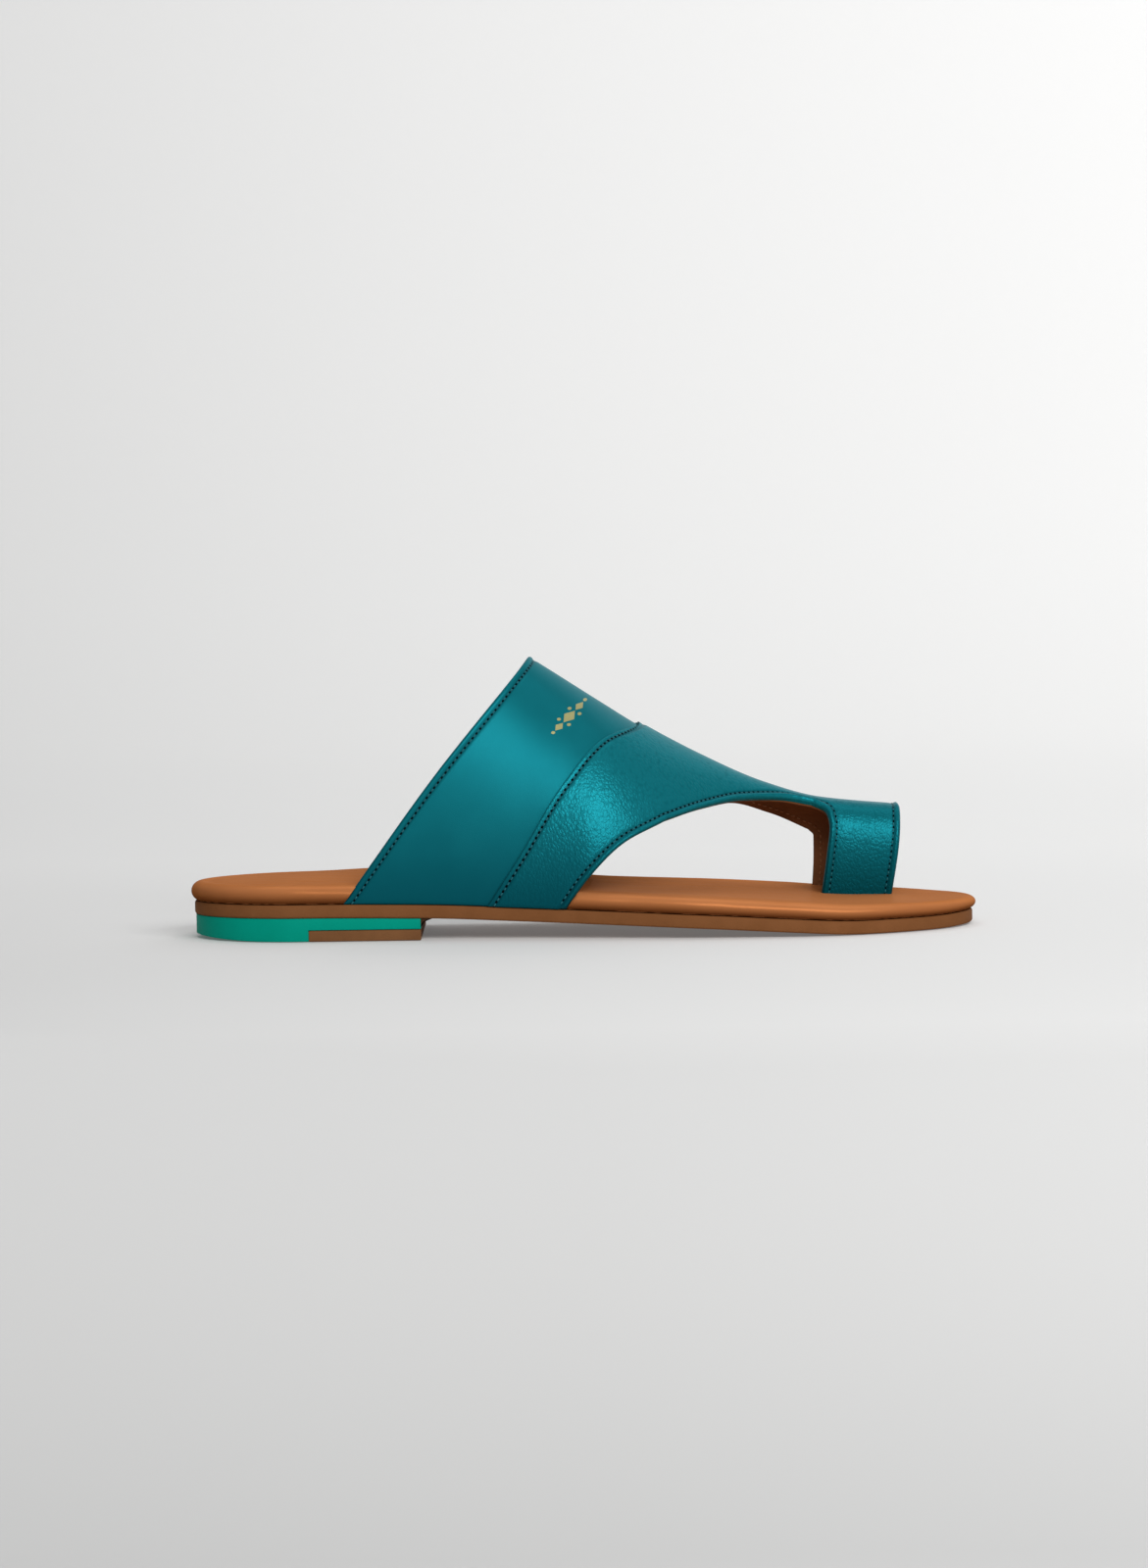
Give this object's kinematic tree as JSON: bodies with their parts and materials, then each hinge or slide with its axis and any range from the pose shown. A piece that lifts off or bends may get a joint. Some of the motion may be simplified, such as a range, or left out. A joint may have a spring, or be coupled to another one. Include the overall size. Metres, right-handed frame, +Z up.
{
  "type": "slide sandal",
  "caption": "Flat leather slide sandal for the right foot: slanted instep band narrowing to a big-toe loop, padded footbed and low heel.",
  "frame": {"origin": "on the floor, in the middle of the sandal's length and width", "axes": "+X towards the toe, +Y towards the inner side of the foot, +Z up"},
  "size_m": [0.28, 0.0938, 0.0976],
  "materials": {
    "outsole_brown": "matt",
    "heel_green": "matt",
    "heel_brown": "matt",
    "heel_dark": "matt",
    "footbed_leather": "smooth, soft sheen",
    "upper_leather": "smooth, semi-matt",
    "panel_leather": "pebbled grain, light sheen"
  },
  "bodies": {
    "root": {"outsole": "outsole_brown", "heel_block": "heel_green", "heel_top_piece": "heel_brown", "heel_breast_strip": "heel_dark", "insole": "footbed_leather", "upper": "upper_leather", "front_panel": "panel_leather"}
  },
  "joints": []
}
